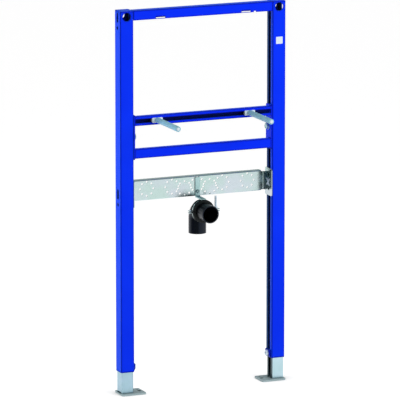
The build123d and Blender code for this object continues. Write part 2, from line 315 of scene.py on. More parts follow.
# Strength of the painted shade on the posts' rear lips
REAR_LIP_SHADE = 0.9
blue_coat = powder_coated_steel("powder_coated_steel_blue", COAT_TINTS, RAIL_SHEEN, 0.0)
post_coat = powder_coated_steel("powder_coated_post_blue", COAT_TINTS, POST_SHEEN, REAR_LIP_SHADE)
lug_coat = powder_coated_steel("powder_coated_lug_blue", LUG_TINTS, RAIL_SHEEN, 0.0)
print("finishes:", blue_coat.name, post_coat.name, lug_coat.name)

# %% [markdown]
# ## Zinc-plated steel
# Feet, tap plate, clamp and screws are bright zinc-plated steel with a clear blue passivation. That
# film is only a fraction of a wavelength thick, so its tint wanders between green, cyan and violet
# over a few centimetres. Rolling leaves faint lines along the sheet, and cut edges are duller.
# Joints, holes and the inner faces of the legs are darkened with painted shade, from an occlusion
# mask and from which way a face turns. The rolling lines are really finer than a tenth of a
# millimetre, and they are drawn 2.5 mm apart so that they show. A picture of zinc could be wrapped
# round each piece, but it would bring its own light with it, and a metal shader takes the scene's.

# %% Zinc-plated steel
TINT_CLOUD_MM = 55
ROLL_LINE_MM = 2.5
ROLL_STRETCH = 40
EDGE_MM = 1.0
EDGE_FADE = 0.70


def zinc_plated_steel(
    name, tints, edge_tint, gloss_range, roll_axis, joint_mm, metal=1.0, own_only=False,
    shelter=(0.72, 0.25), inner_shade=0.0,
):
    finish, tree, place = start_finish(name)
    # A metal mirror blurred by plating: bright where the studio is bright, dark where it is not
    cloud = add_node(
        tree, "ShaderNodeTexNoise", {"Scale": per_metre(TINT_CLOUD_MM), "Detail": 2.0},
        {"Vector": place},
    )
    spread = add_node(
        tree, "ShaderNodeMapRange", {"From Min": 0.36, "From Max": 0.64},
        {"Value": cloud.outputs["Fac"]},
    )
    tint = add_node(
        tree, "ShaderNodeMix", {"data_type": "RGBA", 6: linear(tints[0]), 7: linear(tints[1])},
        {0: spread.outputs["Result"]},
    )
    cut = add_node(
        tree, "ShaderNodeMix", {"data_type": "RGBA", 7: linear(edge_tint)},
        {0: edge_mask(tree, EDGE_MM, EDGE_FADE), 6: tint.outputs[2]},
    )
    # Painted shade: joints, holes and faces turned to the middle are darkened to a dark teal grey
    shaded = add_node(
        tree, "ShaderNodeMath", {"operation": "MAXIMUM"},
        {
            0: shelter_mask(tree, joint_mm, own_only, *shelter),
            1: inward_mask(tree, place, inner_shade),
        },
    )
    joint = add_node(
        tree, "ShaderNodeMix", {"data_type": "RGBA", 7: linear("#23343a")},
        {0: shaded.outputs[0], 6: cut.outputs[2]},
    )
    squeeze = [1.0, 1.0, 1.0]
    squeeze[roll_axis] = 1 / ROLL_STRETCH
    along = add_node(tree, "ShaderNodeMapping", {"Scale": squeeze}, {"Vector": place})
    lines = add_node(
        tree, "ShaderNodeTexNoise", {"Scale": per_metre(ROLL_LINE_MM), "Detail": 2.0},
        {"Vector": along.outputs["Vector"]},
    )
    gloss = add_node(
        tree, "ShaderNodeMapRange", {"To Min": gloss_range[0], "To Max": gloss_range[1]},
        {"Value": lines.outputs["Fac"]},
    )
    relief = add_node(
        tree, "ShaderNodeBump", {"Strength": 0.06, "Distance": 0.2 * MM},
        {"Height": lines.outputs["Fac"]},
    )
    shader = add_node(
        tree, "ShaderNodeBsdfPrincipled", {"Metallic": metal},
        {
            "Base Color": joint.outputs[2],
            "Roughness": gloss.outputs["Result"],
            "Normal": relief.outputs["Normal"],
        },
    )
    add_node(tree, "ShaderNodeOutputMaterial", {}, {"Surface": shader.outputs["BSDF"]})
    return finish


print("rolling lines:", ROLL_LINE_MM, "mm apart,", ROLL_LINE_MM * ROLL_STRETCH, "mm long")

# %% [markdown]
# ## The zinc family
# Screws, rods and base plates are chalkier than the sheet, so they are only partly metallic, and weld
# beads are grey under a dusting of zinc. The left leg gets darker tints than the right: painted shade
# on a copy of the same zinc. One function makes the whole family, and tints, gloss and rolling
# direction tell its members apart.

# %% Zinc on sheet, legs, base plates and fasteners
X_AXIS, Y_AXIS, Z_AXIS = 0, 1, 2
# Painted shade inside the legs and on their inner faces
LEG_REACH_MM = 60
LEG_INNER_SHADE = 0.88
CHALKY = 0.25
zinc_sheet = zinc_plated_steel(
    "zinc_plated_sheet", ("#bed5d1", "#c9d4db"), "#93a7a6", (0.16, 0.26), X_AXIS, 6,
)
zinc_strap = zinc_plated_steel(
    "zinc_plated_strap", ("#aed0d0", "#b9d8da"), "#6f8c8e", (0.30, 0.42), Z_AXIS, 2,
)
zinc_right_leg = zinc_plated_steel(
    "zinc_plated_right_section", ("#b8d6dc", "#c6e0ec"), "#93a9b4", (0.28, 0.42), Z_AXIS,
    LEG_REACH_MM, own_only=True, inner_shade=LEG_INNER_SHADE,
)
# Painted shade: the left leg is the same zinc as the right, with darker tints
zinc_left_leg_shaded = zinc_plated_steel(
    "zinc_plated_left_section", ("#9fc0ca", "#abc8d8"), "#8aa2b0", (0.28, 0.42), Z_AXIS,
    LEG_REACH_MM, own_only=True, inner_shade=LEG_INNER_SHADE,
)
zinc_base = zinc_plated_steel(
    "zinc_plated_base_plate", ("#96abaf", "#a4b7bb"), "#869b9d", (0.40, 0.54), X_AXIS, 12,
    metal=CHALKY, own_only=True, shelter=(0.95, 0.60),
)
zinc_weld = zinc_plated_steel(
    "zinc_dusted_weld", ("#5f7f84", "#8ba2a6"), "#5d7478", (0.42, 0.60), Z_AXIS, 2,
)
zinc_screw = zinc_plated_steel(
    "zinc_plated_fasteners", ("#cfe2f4", "#deecfa"), "#a3b4ba", (0.30, 0.42), Y_AXIS, 1,
    metal=CHALKY,
)
zinc_rod = zinc_plated_steel(
    "zinc_plated_rod", ("#d3e3ec", "#deeaf2"), "#b9cbd6", (0.45, 0.60), Y_AXIS, 0.4, metal=0.30,
)
zinc_family = (
    zinc_sheet, zinc_strap, zinc_right_leg, zinc_left_leg_shaded, zinc_base, zinc_weld, zinc_screw, zinc_rod,
)
print("finishes:", [finish.name for finish in zinc_family])

# %% [markdown]
# ## Plastics, rubber and label paper
# The bend is black polyethylene, moulded smooth, with a long soft highlight. The collar in the clamp
# is EPDM rubber, which is matt and gathers pale dust. The stud sleeves are grey-blue polyethylene,
# cloudy because the light enters it a little way. The label is coated paper. They share one recipe:
# two tints clouded together, a roughness that follows a finer grain, and a light relief. The real
# grain is far below a millimetre, and it is drawn at one to three millimetres so that it shows.

# %% Polyethylene, EPDM rubber and paper


def moulded(name, tints, cloud_mm, grain_mm, gloss_range, relief_strength, sockets):
    finish, tree, place = start_finish(name)
    cloud = add_node(
        tree, "ShaderNodeTexNoise", {"Scale": per_metre(cloud_mm), "Detail": 3.0},
        {"Vector": place},
    )
    tint = add_node(
        tree, "ShaderNodeMix", {"data_type": "RGBA", 6: linear(tints[0]), 7: linear(tints[1])},
        {0: cloud.outputs["Fac"]},
    )
    grain = add_node(
        tree, "ShaderNodeTexNoise", {"Scale": per_metre(grain_mm), "Detail": 2.0},
        {"Vector": place},
    )
    gloss = add_node(
        tree, "ShaderNodeMapRange", {"To Min": gloss_range[0], "To Max": gloss_range[1]},
        {"Value": grain.outputs["Fac"]},
    )
    relief = add_node(
        tree, "ShaderNodeBump", {"Strength": relief_strength, "Distance": 0.2 * MM},
        {"Height": grain.outputs["Fac"]},
    )
    shader = add_node(
        tree, "ShaderNodeBsdfPrincipled", sockets,
        {
            "Base Color": tint.outputs[2],
            "Roughness": gloss.outputs["Result"],
            "Normal": relief.outputs["Normal"],
        },
    )
    add_node(tree, "ShaderNodeOutputMaterial", {}, {"Surface": shader.outputs["BSDF"]})
    return finish


# Smooth and waxy: nearly black with a broad grey highlight
black_pe = moulded(
    "black_polyethylene_moulded", ("#030405", "#0a0b0d"), 30, 2.5, (0.24, 0.34), 0.05,
    {"IOR": 1.51, "Specular IOR Level": 0.3, "Specular Tint": linear("#c4d8ff")},
)
# Matt and slightly dusty: no clear highlight at all
epdm = moulded(
    "black_epdm_rubber", ("#060b0c", "#101819"), 12, 1.5, (0.62, 0.80), 0.12, {"IOR": 1.48},
)
# Cloudy and soft-edged: the light spreads inside the wall before it comes back
grey_pe = moulded(
    "grey_polyethylene_sleeve", ("#7eb4c6", "#92c6d4"), 20, 2.5, (0.38, 0.52), 0.05,
    {"IOR": 1.51, "Subsurface Weight": 0.12, "Subsurface Radius": (0.002, 0.002, 0.002)},
)
# Bright and flat, with a faint fibre
label_paper = moulded(
    "coated_paper_white", ("#ccd9e8", "#d8e3ef"), 8, 1.2, (0.48, 0.60), 0.06, {"IOR": 1.45},
)
print("finishes:", black_pe.name, epdm.name, grey_pe.name, label_paper.name)

# %% [markdown]
# ## Finishes on the solids
# Every solid already carries a plain material named for its slot in the record. Swapping that
# material leaves the mesh alone. A second table names the solids that look different from the rest
# of their slot: the posts and lugs among the blue ones, and the legs, base plates, rods and strap
# among the zinc ones.

# %% Give each solid its finish
finish_for_slot = {
    "blue_powder_coat": blue_coat,
    "zinc_plated_steel": zinc_sheet,
    "black_polyethylene": black_pe,
    "black_rubber": epdm,
    "grey_polyethylene": grey_pe,
}
finish_for_node = {
    "left_post": post_coat,
    "right_post": post_coat,
    "left_clamp_lug": lug_coat,
    "right_clamp_lug": lug_coat,
    "left_base_plate": zinc_base,
    "right_base_plate": zinc_base,
    "left_leg": zinc_left_leg_shaded,
    "right_leg": zinc_right_leg,
    "left_stud_rod": zinc_rod,
    "right_stud_rod": zinc_rod,
    "clamp_rod": zinc_rod,
    "left_slot_plate": zinc_rod,
    "right_slot_plate": zinc_rod,
    "clamp_strap": zinc_strap,
}
for node_name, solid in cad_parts.items():
    slot_name = solid.material_slots[0].material.name
    solid.material_slots[0].material = finish_for_node.get(node_name, finish_for_slot[slot_name])
print("finished solids:", len(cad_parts))

# %% [markdown]
# ## From a bmesh to a piece
# Each small part is modelled upright at the origin, in millimetres, which keeps its numbers easy to
# read. One function then turns it to its direction, moves it to its seat on the frame, scales it to
# metres and marks the creases, so the object itself stays at the origin and unturned. It also says
# which body carries the piece, so that the piece follows the frame when the legs slide. Many pieces
# are turned shapes: half a profile is drawn as (radius, height) points and spun once round the axis.

# %% Piece helpers
CREASE = math.radians(35)
UP = Vector((0, 0, 1))
HANDS = (("left", 1), ("right", -1))
SAME_LEVEL = 1e-4


def finish_piece(bm, name, finish, body, seat=(0, 0, 0), toward=UP):
    """Place an upright millimetre bmesh and make it a piece that rides on a body."""
    turn = UP.rotation_difference(Vector(toward)).to_matrix().to_4x4()
    place = Matrix.Scale(MM, 4) @ Matrix.Translation(Vector(seat)) @ turn
    bmesh.ops.transform(bm, matrix=place, verts=bm.verts)
    bmesh.ops.recalc_face_normals(bm, faces=bm.faces)
    for face in bm.faces:
        face.smooth = True
    for edge in bm.edges:
        edge.smooth = edge.calc_face_angle(0) < CREASE
    mesh = bpy.data.meshes.new(name)
    bm.to_mesh(mesh)
    bm.free()
    mesh.materials.append(finish)
    piece = bpy.data.objects.new(name, mesh)
    bpy.context.scene.collection.objects.link(piece)
    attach(piece, body)
    print("piece:", name, len(mesh.polygons), "faces")
    return piece


def middle_mm(node_name):
    """Middle of a solid's box, in millimetres."""
    low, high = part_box(node_name)
    return (low + high) / 2 / MM


def side_mm(node_name, toward_x):
    """X of a solid's right face for +1 and of its left face for -1, in millimetres."""
    low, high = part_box(node_name)
    return (high.x if toward_x > 0 else low.x) / MM


def spin_outline(bm, outline, steps, closed=False):
    """Turn a profile of (radius, height) points once round the axis."""
    verts = [bm.verts.new((radius, 0, z)) for radius, z in outline]
    ends = verts[1:] + verts[:1] if closed else verts[1:]
    edges = [bm.edges.new(pair) for pair in zip(verts, ends)]
    bmesh.ops.spin(
        bm, geom=verts + edges, cent=(0, 0, 0), axis=(0, 0, 1), angle=2 * math.pi, steps=steps,
        use_merge=True,
    )
    bmesh.ops.remove_doubles(bm, verts=bm.verts, dist=SAME_LEVEL)


def ease_top_rim(bm, verts, top, offset):
    """Round the rim that lies at the height of the top."""
    rim = {
        edge for vert in verts for edge in vert.link_edges
        if all(abs(end.co.z - top) < SAME_LEVEL for end in edge.verts)
    }
    bmesh.ops.bevel(
        bm, geom=list(rim), offset=offset, segments=3, profile=0.5, affect="EDGES", material=-1,
    )


print("piece helpers ready, crease at", round(math.degrees(CREASE)), "degrees")

# %% [markdown]
# ## Hexagon screws
# A hexagon screw with a washer holds each end plate to its post. A cylinder with six sides gives the
# hexagon, and a bevel of its top rim gives the chamfer that a real head is turned with. The washer is
# a wide, low disc with its rim eased, and the dish in the head is an inset pushed down.

# %% Hexagon screws on the end plates
END_WASHER = (20, 2.0)
END_FLATS = 16
END_HEAD = 6.0
END_CHAMFER = 1.0
DISH_INSET = 1.6
DISH_SLOPE = 0.8
DISH_DEEP = 0.7


def disc(bm, diameter, thick, ease, segments):
    """Low disc on the seat, with its top rim eased."""
    made = bmesh.ops.create_cone(
        bm, cap_ends=True, segments=segments, radius1=diameter / 2, radius2=diameter / 2,
        depth=thick, matrix=Matrix.Translation((0, 0, thick / 2)),
    )
    ease_top_rim(bm, made["verts"], thick, ease)


def hexagon_screw(name, seat, toward, body):
    bm = bmesh.new()
    washer_d, washer_t = END_WASHER
    disc(bm, washer_d, washer_t, 0.6, 48)
    top = washer_t + END_HEAD
    corner_r = END_FLATS / math.sqrt(3)
    made = bmesh.ops.create_cone(
        bm, cap_ends=True, segments=6, radius1=corner_r, radius2=corner_r, depth=END_HEAD,
        matrix=Matrix.Translation((0, 0, washer_t + END_HEAD / 2)),
    )
    ease_top_rim(bm, made["verts"], top, END_CHAMFER)
    crown = [face for face in bm.faces if face.calc_center_median().z > top - 1e-3]
    bmesh.ops.inset_region(bm, faces=crown, thickness=DISH_INSET, depth=0)
    bmesh.ops.inset_region(bm, faces=crown, thickness=DISH_SLOPE, depth=-DISH_DEEP)
    return finish_piece(bm, name, zinc_strap, body, seat, toward)


for hand, inward in HANDS:
    seat = (
        side_mm(hand + "_end_plate", inward), middle_mm(hand + "_post").y,
        middle_mm(hand + "_end_plate").z,
    )
    hexagon_screw(hand + "_end_plate_screw", seat, (inward, 0, 0), "frame")

# %% [markdown]
# ## Mushroom-head foot screws
# A screw with a domed head and a hexagon socket in each lug clamps the leg in its post. The dome is
# turned: half its profile is drawn as a rim, an arc and a socket, and spun once round the axis. The
# socket comes out round, so its two rings of vertices are then drawn in to a hexagon.

# %% Foot screws in the lugs
DOME_D = 18
DOME_TALL = 6.2
DOME_RIM = 1.2
DOME_STEPS = 8
SOCKET_FLATS = 6
SOCKET_DEEP = 3.2
LUG_BOLT_Z = 77


def mushroom_screw(name, seat, toward, body):
    bm = bmesh.new()
    socket_r = SOCKET_FLATS / math.sqrt(3)
    floor_z = DOME_TALL - SOCKET_DEEP
    outline = [(0, 0), (DOME_D / 2, 0)]
    for step in range(DOME_STEPS + 1):
        swing = math.pi / 2 * step / DOME_STEPS
        reach = socket_r + (DOME_D / 2 - socket_r) * math.cos(swing)
        outline.append((reach, DOME_RIM + (DOME_TALL - DOME_RIM) * math.sin(swing)))
    outline += [(socket_r, floor_z), (0, floor_z)]
    spin_outline(bm, outline, 48)
    for vert in bm.verts:
        radius = math.hypot(vert.co.x, vert.co.y)
        if abs(radius - socket_r) < 1e-3:
            turn = math.atan2(vert.co.y, vert.co.x) % (math.pi / 3) - math.pi / 6
            shrink = SOCKET_FLATS / 2 / math.cos(turn) / socket_r
            vert.co.x *= shrink
            vert.co.y *= shrink
    return finish_piece(bm, name, zinc_screw, body, seat, toward)


for hand, inward in HANDS:
    seat = (side_mm(hand + "_clamp_lug", inward), middle_mm(hand + "_post").y, LUG_BOLT_Z)
    mushroom_screw(hand + "_foot_screw", seat, (inward, 0, 0), "frame")

# %% [markdown]
# ## Cross-recessed pan head
# The strap is held to the tap plate by a pan-head screw with a cross recess. A square grid is rounded
# to a disc by a simple mapping, which keeps clean quads for the cross. The cross faces are pushed
# down, the grid is crowned, and the rim is drawn down to the seat.

# %% Pan-head screw in the strap
GRID = 10
CROSS_HALF = 2.1 / GRID
CROSS_REACH = 6.1 / GRID
CROSS_DEEP = 0.55
CROWN_DROP = 0.45
PAN_D = 11
PAN_TALL = 3.2
STRAP_SHEET = 3
STRAP_SCREW_Z = 556


def pan_head(name, seat, toward, body):
    bm = bmesh.new()
    made = bmesh.ops.create_grid(bm, x_segments=GRID, y_segments=GRID, size=1)
    top_verts = made["verts"]
    grid_faces = {face for vert in top_verts for face in vert.link_faces}
    cross = []
    for face in grid_faces:
        spot = face.calc_center_median()
        across, along = sorted((abs(spot.x), abs(spot.y)))
        if across < CROSS_HALF and along < CROSS_REACH:
            cross.append(face)
    rim = [edge for vert in top_verts for edge in vert.link_edges if edge.is_boundary]
    for vert in top_verts:
        u, v = vert.co.x, vert.co.y
        x = u * math.sqrt(1 - v * v / 2)
        y = v * math.sqrt(1 - u * u / 2)
        crown = 1 - CROWN_DROP * (x * x + y * y) ** 2
        vert.co = (x * PAN_D / 2, y * PAN_D / 2, PAN_TALL * crown)
    skirt = bmesh.ops.extrude_edge_only(bm, edges=list(set(rim)))
    skirt_verts = [item for item in skirt["geom"] if isinstance(item, bmesh.types.BMVert)]
    for vert in skirt_verts:
        vert.co.z = 0
    floor_edges = [
        item for item in skirt["geom"]
        if isinstance(item, bmesh.types.BMEdge) and item.is_boundary
    ]
    bmesh.ops.edgeloop_fill(bm, edges=floor_edges)
    pit = bmesh.ops.extrude_face_region(bm, geom=cross)
    pit_verts = [item for item in pit["geom"] if isinstance(item, bmesh.types.BMVert)]
    bmesh.ops.translate(bm, verts=pit_verts, vec=(0, 0, -CROSS_DEEP * PAN_TALL))
    bmesh.ops.delete(bm, geom=cross, context="FACES_ONLY")
    return finish_piece(bm, name, zinc_strap, body, seat, toward)


strap_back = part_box("clamp_strap")[1].y / MM
pan_head("strap_screw", (0, strap_back - STRAP_SHEET, STRAP_SCREW_Z), (0, -1, 0), "frame")

# %% [markdown]
# ## Cross grips on the tap plate's ears
# A quarter-turn fastener holds each ear of the tap plate: its crossed bars stand well proud, so that
# fingers can turn it without a tool. A grid of nine faces loses its four corners, which leaves a
# cross, and extruding that gives the bars. A bevel rounds their top edges.

# %% Cross grips
GRIP_WASHER = (8, 0.8)
GRIP_REACH = 25
GRIP_BAR = 4
GRIP_TALL = 2.4
GRIP_EASE = 0.9
EAR_SHEET = 2


def cross_grip(name, seat, toward, body):
    bm = bmesh.new()
    disc(bm, GRIP_WASHER[0], GRIP_WASHER[1], 0.5, 40)
    made = bmesh.ops.create_grid(bm, x_segments=3, y_segments=3, size=1)
    grid_verts = made["verts"]
    grid_faces = list({face for vert in grid_verts for face in vert.link_faces})
    corners = [
        face for face in grid_faces
        if min(abs(face.calc_center_median().x), abs(face.calc_center_median().y)) > 0.4
    ]
    arms = [face for face in grid_faces if face not in corners]
    for vert in grid_verts:
        for axis in (0, 1):
            half = GRIP_REACH / 2 if abs(vert.co[axis]) > 0.9 else GRIP_BAR / 2
            vert.co[axis] = math.copysign(half, vert.co[axis])
        vert.co.z = GRIP_WASHER[1]
    bmesh.ops.delete(bm, geom=corners, context="FACES")
    raised = bmesh.ops.extrude_face_region(bm, geom=arms, use_keep_orig=True)
    top_verts = [item for item in raised["geom"] if isinstance(item, bmesh.types.BMVert)]
    top_faces = [item for item in raised["geom"] if isinstance(item, bmesh.types.BMFace)]
    bmesh.ops.translate(bm, verts=top_verts, vec=(0, 0, GRIP_TALL))
    rim = [
        edge for face in top_faces for edge in face.edges
        if sum(other in top_faces for other in edge.link_faces) == 1
    ]
    bmesh.ops.bevel(
        bm, geom=list(set(rim)), offset=GRIP_EASE, segments=3, profile=0.5, affect="EDGES",
        material=-1,
    )
    slant = Matrix.Rotation(math.radians(45), 3, "Z")
    bmesh.ops.rotate(bm, cent=(0, 0, 0), matrix=slant, verts=bm.verts)
    return finish_piece(bm, name, zinc_screw, body, seat, toward)


for hand, inward in HANDS:
    ear_x = side_mm(hand + "_post", inward) + inward * EAR_SHEET
    seat = (ear_x, middle_mm(hand + "_post").y, middle_mm("tap_plate").z)
    cross_grip(hand + "_ear_grip", seat, (inward, 0, 0), "frame")

# %% [markdown]
# ## Clamp rivet
# The two halves of the clamp hang together at the short ear, on a rivet. Two flattened spheres and a
# cylinder could stand for it, but they would be three shells. One profile from pole to pole, spun
# once round the axis, gives both heads and the shank as a single closed skin.

# %% Rivet through the clamp ears
EAR_RIVET_X = -37.5
RIVET_D = 6.4
BAND_SHEET = 1.6
band_mid = middle_mm("clamp_band_upper")
ear_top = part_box("clamp_band_upper")[0].z / MM + BAND_SHEET
ear_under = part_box("clamp_band_lower")[1].z / MM - BAND_SHEET


def rivet(name, top, bottom, body):
    """Headed pin through both clamp ears."""
    bm = bmesh.new()
    head = RIVET_D / 2
    shank = 0.6 * head
    outline = (
        (0, top + 1.4), (0.55 * head, top + 1.1), (0.95 * head, top + 0.3), (head, top),
        (shank, top), (shank, bottom), (head, bottom), (0.95 * head, bottom - 0.3),
        (0.55 * head, bottom - 1.1), (0, bottom - 1.4),
    )
    spin_outline(bm, outline, 32)
    seat = (EAR_RIVET_X, band_mid.y, 0)
    return finish_piece(bm, name, zinc_screw, body, seat)


rivet("clamp_ear_rivet", ear_top, ear_under, "frame")

# %% [markdown]
# ## Rubber lips
# The rubber collar has lips that fold over both rims of the steel band, so only a narrow strip of
# steel shows. A torus would be too round, because a lip lies flat on the band. So its section is
# drawn as a closed loop with eased corners, and spun on each side of the collar's middle.

# %% Lips of the collar
LIP_INNER = 30.9
LIP_OUTER = 32.9
LIP_EASE = 0.5
LIP_FROM = 3.4
LIP_TO = 7.4
collar_mid = middle_mm("bend_collar")
bm = bmesh.new()
for side in (-1, 1):
    outline = (
        (LIP_INNER, LIP_FROM), (LIP_OUTER - LIP_EASE, LIP_FROM), (LIP_OUTER, LIP_FROM + LIP_EASE),
        (LIP_OUTER, LIP_TO - LIP_EASE), (LIP_OUTER - LIP_EASE, LIP_TO), (LIP_INNER, LIP_TO),
    )
    spin_outline(bm, [(radius, side * z) for radius, z in outline], 72, closed=True)
finish_piece(bm, "collar_lips", epdm, "frame", collar_mid, (0, -1, 0))

# %% [markdown]
# ## Thread on the clamp rod
# The long clamp rod is an M6 screw. A thread is a ridge that climbs as it goes round, and the spin
# operator makes exactly that when it is given a step along the axis: one small triangle, swept many
# times round the rod. The two end triangles are closed, so the ridge is a solid of its own.

# %% M6 thread as a climbing ridge
M6_PITCH = 1.0
M6_ROOT = 2.92
M6_CREST = 3.3
RIDGE_HALF = 0.42 * M6_PITCH
STEPS_A_TURN = 20
NUT_TALL = 5
EAR_STACK = 3.6
NUT_CLEAR = 0.6
TIP_CLEAR = 1


def thread(name, seat, length, body):
    bm = bmesh.new()
    corners = [
        bm.verts.new((M6_ROOT, 0, -RIDGE_HALF)),
        bm.verts.new((M6_CREST, 0, 0)),
        bm.verts.new((M6_ROOT, 0, RIDGE_HALF)),
    ]
    first = bm.faces.new(corners)
    turns = int(length / M6_PITCH)
    bmesh.ops.spin(
        bm, geom=corners + list(first.edges), cent=(0, 0, 0), axis=(0, 0, 1),
        dvec=(0, 0, M6_PITCH / STEPS_A_TURN), angle=turns * 2 * math.pi, steps=turns * STEPS_A_TURN,
    )
    ends = [edge for edge in bm.edges if edge.is_boundary]
    bmesh.ops.holes_fill(bm, edges=ends, sides=3)
    return finish_piece(bm, name, zinc_rod, body, seat)


rod_low, rod_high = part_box("clamp_rod")
rod_mid = middle_mm("clamp_rod")
thread_from = rod_low.z / MM + 2 * NUT_TALL + 2 * EAR_STACK + NUT_CLEAR
thread_long = rod_high.z / MM - thread_from - TIP_CLEAR
thread("clamp_rod_thread", (rod_mid.x, rod_mid.y, thread_from), thread_long, "frame")

# %% [markdown]
# ## Weld beads
# The top rail is welded to the posts, the rails to their end plates, the lugs to the posts and the
# legs to their base plates. A bead is a low rounded run with a ripple every few millimetres, where
# the weld pool froze. Bump in a material could hint at it, but a real swelling also shows in the
# outline. A thin cylinder is cut into short lengths and each ring is swelled or pinched.

# %% One rippled bead
RIPPLE_MM = 3.2
RIPPLE = 0.16


def add_bead(bm, start, end, radius):
    """One rippled run of weld between two points, in millimetres."""
    run = Vector(end) - Vector(start)
    bead = bmesh.new()
    bmesh.ops.create_cone(
        bead, cap_ends=True, segments=10, radius1=radius, radius2=radius, depth=run.length,
    )
    half = run.length / 2
    long_edges = [
        edge for edge in bead.edges if abs(edge.verts[0].co.z - edge.verts[1].co.z) > half
    ]
    cuts = max(3, round(run.length / RIPPLE_MM * 4))
    bmesh.ops.subdivide_edges(bead, edges=long_edges, cuts=cuts, use_grid_fill=True)
    for vert in bead.verts:
        swell = 1 + RIPPLE * math.sin(2 * math.pi * vert.co.z / RIPPLE_MM)
        taper = min(1.0, 0.45 + (half - abs(vert.co.z)) / (2 * radius))
        vert.co.x *= swell * taper
        vert.co.y *= swell * taper
    turn = UP.rotation_difference(run.normalized()).to_matrix().to_4x4()
    middle = Matrix.Translation((Vector(start) + Vector(end)) / 2)
    bmesh.ops.transform(bead, matrix=middle @ turn, verts=bead.verts)
    carrier = bpy.data.meshes.new("bead_run")
    bead.to_mesh(carrier)
    bead.free()
    bm.from_mesh(carrier)
    bpy.data.meshes.remove(carrier)


print("bead ripples:", RIPPLE_MM, "mm apart")

# %% [markdown]
# ## Beads on the frame and on the feet
# The ends of each bead are read from the boxes of the solids that it joins, and the bead sinks half
# its width into both. The blue ones are coated with the frame and ride on it. Those at the legs are
# dusted with zinc and stay on the floor with the feet, so they are pieces of their own.

# %% Beads where the parts meet
FRAME_BEAD = 1.3
FOOT_BEAD = 0.9
FOOT_SIDE_BEAD = 3.2
NUGGET = 2.4
NUGGET_LONG = 6
LEG_SLOT = 18
for hand, inward in HANDS:
    bm = bmesh.new()
    rail_low, rail_high = (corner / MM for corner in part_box("top_rail"))
    end_x = side_mm("top_rail", -inward)
    back_y = rail_high.y
    add_bead(bm, (end_x, back_y, rail_low.z + 2), (end_x, back_y, rail_high.z - 4), FRAME_BEAD)
    for bar in ("stud_rail", "lower_crossbar"):
        low, high = (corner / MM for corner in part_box(bar))
        end_x = side_mm(bar, -inward)
        for edge_z in (high.z, low.z):
            add_bead(bm, (end_x, low.y + 3, edge_z), (end_x, high.y - 2, edge_z), FRAME_BEAD)
        add_bead(bm, (end_x, high.y, low.z + 3), (end_x, high.y, high.z - 3), FRAME_BEAD)
    low, high = (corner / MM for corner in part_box(hand + "_clamp_lug"))
    lug_x = side_mm(hand + "_clamp_lug", -inward)
    for side_y in (low.y, high.y):
        add_bead(bm, (lug_x, side_y, low.z + 2), (lug_x, side_y, high.z - 1), FRAME_BEAD)
    finish_piece(bm, hand + "_frame_welds", blue_coat, "frame")
    bm = bmesh.new()
    low, high = (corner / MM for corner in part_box(hand + "_leg"))
    seam_z = low.z
    for side_y in (low.y, high.y):
        add_bead(bm, (low.x + 3, side_y, seam_z), (high.x - 3, side_y, seam_z), FOOT_BEAD)
    side_x = side_mm(hand + "_leg", -inward) + inward * FOOT_SIDE_BEAD / 4
    add_bead(bm, (side_x, low.y + 3, seam_z), (side_x, high.y - 3, seam_z), FOOT_SIDE_BEAD)
    lip_x = side_mm(hand + "_leg", inward) - inward
    for side in (-1, 1):
        lip_y = (low.y + high.y) / 2 + side * (LEG_SLOT / 2 + 1)
        near_y = lip_y - NUGGET_LONG / 2
        far_y = lip_y + NUGGET_LONG / 2
        add_bead(bm, (lip_x, near_y, seam_z), (lip_x, far_y, seam_z), NUGGET)
    finish_piece(bm, hand + "_foot_welds", zinc_weld, "feet")

# %% [markdown]
# ## Blank label
# A small square label sits near the top of the right post. It is a thin sheet with rounded corners,
# left bare. A flattened cube with its upright edges bevelled is all that it needs. A third of its
# thickness is sunk into the post, so no gap shows behind it.

# %% Label on the right post
LABEL_MM = 20
LABEL_THICK = 0.3
LABEL_AT = (230.5, 976.5)
LABEL_CORNER = 1.5
bm = bmesh.new()
bmesh.ops.create_cube(bm, size=1, matrix=Matrix.Diagonal((LABEL_MM, LABEL_MM, LABEL_THICK, 1)))
upright = [
    edge for edge in bm.edges
    if abs(edge.verts[0].co.z - edge.verts[1].co.z) > LABEL_THICK / 2
]
bmesh.ops.bevel(
    bm, geom=upright, offset=LABEL_CORNER, segments=4, profile=0.5, affect="EDGES", material=-1,
)
post_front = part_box("right_post")[0].y / MM
finish_piece(
    bm, "post_label", label_paper, "frame",
    (LABEL_AT[0], post_front - LABEL_THICK / 3, LABEL_AT[1]), (0, -1, 0),
)

# %% [markdown]
# ## Which rays see the background
# The background is white, but as much light on the frame would wash its colours out. So camera rays
# and reflections see a white studio, while the light that falls on the frame keeps a plain level.
# Photographers stand a dark card beside bright metal so that its bends show. Here the reflected
# rays that leave towards the left front meet such a dark, teal side. Floor and world need the same
# two masks, so one function adds them to either node tree.

# %% Masks of the background rays
WHITE = (1, 1, 1, 1)
DARK_SIDE = (-0.85, -0.53, 0.0)
DARK_EDGE = (0.42, 0.70)
CARD_TINT = (0.30, 0.80, 1.0, 1)
CARD_LEVEL = 0.05


